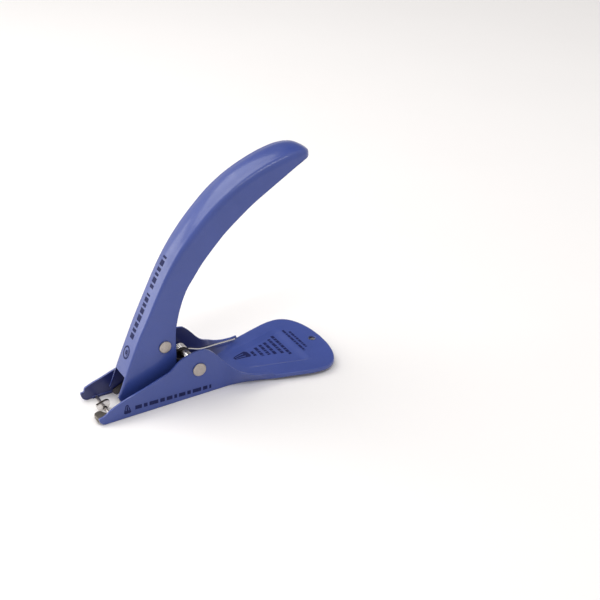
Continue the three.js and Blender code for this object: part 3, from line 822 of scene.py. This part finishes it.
def make_tongue_steel():
    """Polished side faces, with painted shade: the faces that look up, along the top edge, are painted
    near-black.
    """
    steel = Surface("tongue_steel")
    lines = steel.noise(700, 4, 0.6, (1, 1, 9))
    bright = steel.blend(steel.spread(lines, 0, 1), colour(0.84, 0.82, 0.80), colour(0.68, 0.65, 0.63))
    # Painted shade: faces that look up get a near-black colour instead of the steel's own tone.
    top = steel.upward()
    steel.set(Base_Color=steel.blend(top, bright, colour(0.035, 0.028, 0.024)), Metallic=1.0)
    steel.set(Roughness=steel.spread(top, 0.16, 0.45, 0, 1))
    steel.bumps((lines, 0.12, 0.0001))
    return steel.material


def make_ink():
    """Dark blue pad-printed ink, slightly patchy."""
    ink = Surface("print_ink")
    patchy = ink.noise(1500, 4, 0.7)
    solid, worn = colour(0.007, 0.010, 0.062), colour(0.02, 0.03, 0.13)
    tone = ink.blend(ink.spread(patchy, 0, 1, 0.45, 0.75), solid, worn)
    ink.set(Base_Color=tone, Roughness=ink.spread(patchy, 0.45, 0.6), Specular_IOR_Level=0.12)
    ink.bumps((patchy, 0.1, 0.0001))
    return ink.material


def make_floor_material():
    pale = Surface("pale_floor")
    cloud = pale.noise(9, 5)
    fine = pale.noise(700, 3)
    pale.set(Base_Color=pale.blend(cloud, colour(0.915, 0.895, 0.885), colour(0.935, 0.915, 0.905)))
    pale.set(Roughness=pale.spread(fine, 0.5, 0.62), Specular_IOR_Level=0.25)
    pale.bumps((fine, 0.03, 0.0003))
    return pale.material


# ---- the pieces -------------------------------------------------------------------------------
def fit(obj, body, nodes, material):
    """Hangs a finished piece on its body in place of the CAD nodes that it shows."""
    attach(obj, body)
    dress(obj, nodes, material)


def dress(obj, nodes, material):
    if nodes:
        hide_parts(*nodes)
    obj.data.materials.clear()
    obj.data.materials.append(material)


paint = make_paint()
ink = make_ink()
rivet_steel = make_steel(
    "rivet_satin", (0.51, 0.46, 0.43), (0.37, 0.33, 0.30), (0.32, 0.44), (1, 1, 1), 1900)
nickel = make_steel(
    "bright_nickel", (0.74, 0.72, 0.71), (0.56, 0.54, 0.54), (0.14, 0.24), (1, 1, 1), 900)
tool_steel = make_steel(
    "ground_steel", (0.25, 0.23, 0.21), (0.14, 0.125, 0.11), (0.3, 0.46), (1, 1, 9), 900)
pin_steel = make_steel(
    "pin_steel", (0.58, 0.54, 0.52), (0.40, 0.37, 0.35), (0.24, 0.38), (1, 9, 1), 900)
# Painted shade: the lifter's ground steel gets a much darker tone than the foot tab's, for the shade it
# sits in between the cheeks.
painted_shade_steel = make_steel(
    "hardened_steel_painted_shade", (0.13, 0.12, 0.12), (0.06, 0.055, 0.055), (0.34, 0.5), (9, 1, 1), 500)
tongue_steel = make_tongue_steel()

base = make_base()
handle = make_handle()
base_marks = [paddle_print(base), arm_print(base)]
spine_mark = spine_print(handle)
fit(base, "base", ["base_frame"], paint)
fit(handle, "handle", ["handle_shell"], paint)
for mark in base_marks:
    fit(mark, "base", [], ink)
fit(spine_mark, "handle", [], ink)

pivot_rivet = make_rivet("pivot_rivet_detail", PIVOT, BASE_HALF, PIVOT_HEAD)
lifter_rivet = make_rivet("lifter_rivet_detail", RIVET, HANDLE_HALF, RIVET_HEAD)
fit(pivot_rivet, "base", ["pivot_rivet"], rivet_steel)
fit(lifter_rivet, "handle", ["lifter_rivet"], rivet_steel)

spring = tube("torsion_spring_detail", spring_path(), WIRE_R)
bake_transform(spring)
dress(spring, ["torsion_spring"], nickel)

fit(refine("lifter", 0.14), "handle", ["lifter"], painted_shade_steel)
fit(refine("cross_pin", 0.12), "base", ["cross_pin"], pin_steel)
fit(tongue_plate(), "base", ["tongue"], tongue_steel)
fit(foot_plate(), "base", ["foot_tab"], tool_steel)
spacers = {"lifter_spacer": "handle", "pivot_spacer_near": "base", "pivot_spacer_middle": "base"}
for node, body in spacers.items():
    fit(refine(node, 0.12), body, [node], nickel)


# ---- camera ----------------------------------------------------------------------------------
CAMERA_AZIMUTH = math.radians(-30.53)
CAMERA_ELEVATION = math.radians(29.35)
CAMERA_LENS = 65.0
CAMERA_OFFSET = Vector((-0.05524, 0.04124, 0.54175))   # the origin seen from it: right, down, ahead


def make_camera():
    azimuth, level = CAMERA_AZIMUTH, math.cos(CAMERA_ELEVATION)
    right = Vector((math.cos(azimuth), math.sin(azimuth), 0))
    drop = -math.sin(CAMERA_ELEVATION)
    ahead = Vector((-level * math.sin(azimuth), level * math.cos(azimuth), drop))
    up = right.cross(ahead)
    place = -(right * CAMERA_OFFSET.x - up * CAMERA_OFFSET.y + ahead * CAMERA_OFFSET.z)
    data = bpy.data.cameras.new("camera")
    data.lens = CAMERA_LENS
    data.sensor_width = 36
    camera = bpy.data.objects.new("camera", data)
    bpy.context.scene.collection.objects.link(camera)
    camera.matrix_world = Matrix((
        (right.x, up.x, -ahead.x, place.x),
        (right.y, up.y, -ahead.y, place.y),
        (right.z, up.z, -ahead.z, place.z),
        (0, 0, 0, 1),
    ))
    bpy.context.scene.camera = camera


make_camera()


# ---- studio ----------------------------------------------------------------------------------
def make_world():
    """Even pale light, dimmer low behind the tool so that the flat paddle keeps its colour."""
    world = bpy.data.worlds.new("studio")
    bpy.context.scene.world = world
    world.use_nodes = True
    tree = world.node_tree
    background = tree.nodes["Background"]
    background.inputs[0].default_value = colour(1.0, 0.985, 0.975)
    coords = tree.nodes.new("ShaderNodeTexCoord")
    behind = tree.nodes.new("ShaderNodeVectorMath")
    behind.operation = "DOT_PRODUCT"
    behind.inputs[1].default_value = Vector((0.40, 0.68, 0.62)).normalized()
    level = tree.nodes.new("ShaderNodeMapRange")
    level.interpolation_type = "SMOOTHSTEP"
    inputs = {"From Min": 0.74, "From Max": 0.96, "To Min": 0.76, "To Max": 0.22}
    for key, value in inputs.items():
        level.inputs[key].default_value = value
    tree.links.new(coords.outputs["Generated"], behind.inputs[0])
    tree.links.new(behind.outputs["Value"], level.inputs[0])
    tree.links.new(level.outputs[0], background.inputs[1])


def make_panel(name, place, aim, size, power):
    """A soft rectangular light that the camera doesn't see."""
    data = bpy.data.lights.new(name, "AREA")
    data.shape = "RECTANGLE"
    data.size, data.size_y = size
    data.energy = power
    panel = bpy.data.objects.new(name, data)
    bpy.context.scene.collection.objects.link(panel)
    panel.location = place
    panel.rotation_euler = (Vector(aim) - Vector(place)).to_track_quat("-Z", "Y").to_euler()
    panel.visible_camera = False


def make_floor():
    bpy.ops.mesh.primitive_plane_add(size=6)
    floor = bpy.context.object
    floor.name = "floor"
    floor.data.materials.append(make_floor_material())


make_world()
make_floor()
make_panel("top_panel", (-0.3, 0.5, 0.95), (0, 0, 0.03), (0.9, 0.8), 6)
make_panel("back_panel", (-0.9, 0.7, 0.3), (0, 0, 0.06), (0.9, 0.6), 4.5)
make_panel("strip", (0, -0.42, 1), (0, 0, 0.05), (0.7, 0.05), 1.8)
bpy.context.scene.view_settings.view_transform = "Standard"
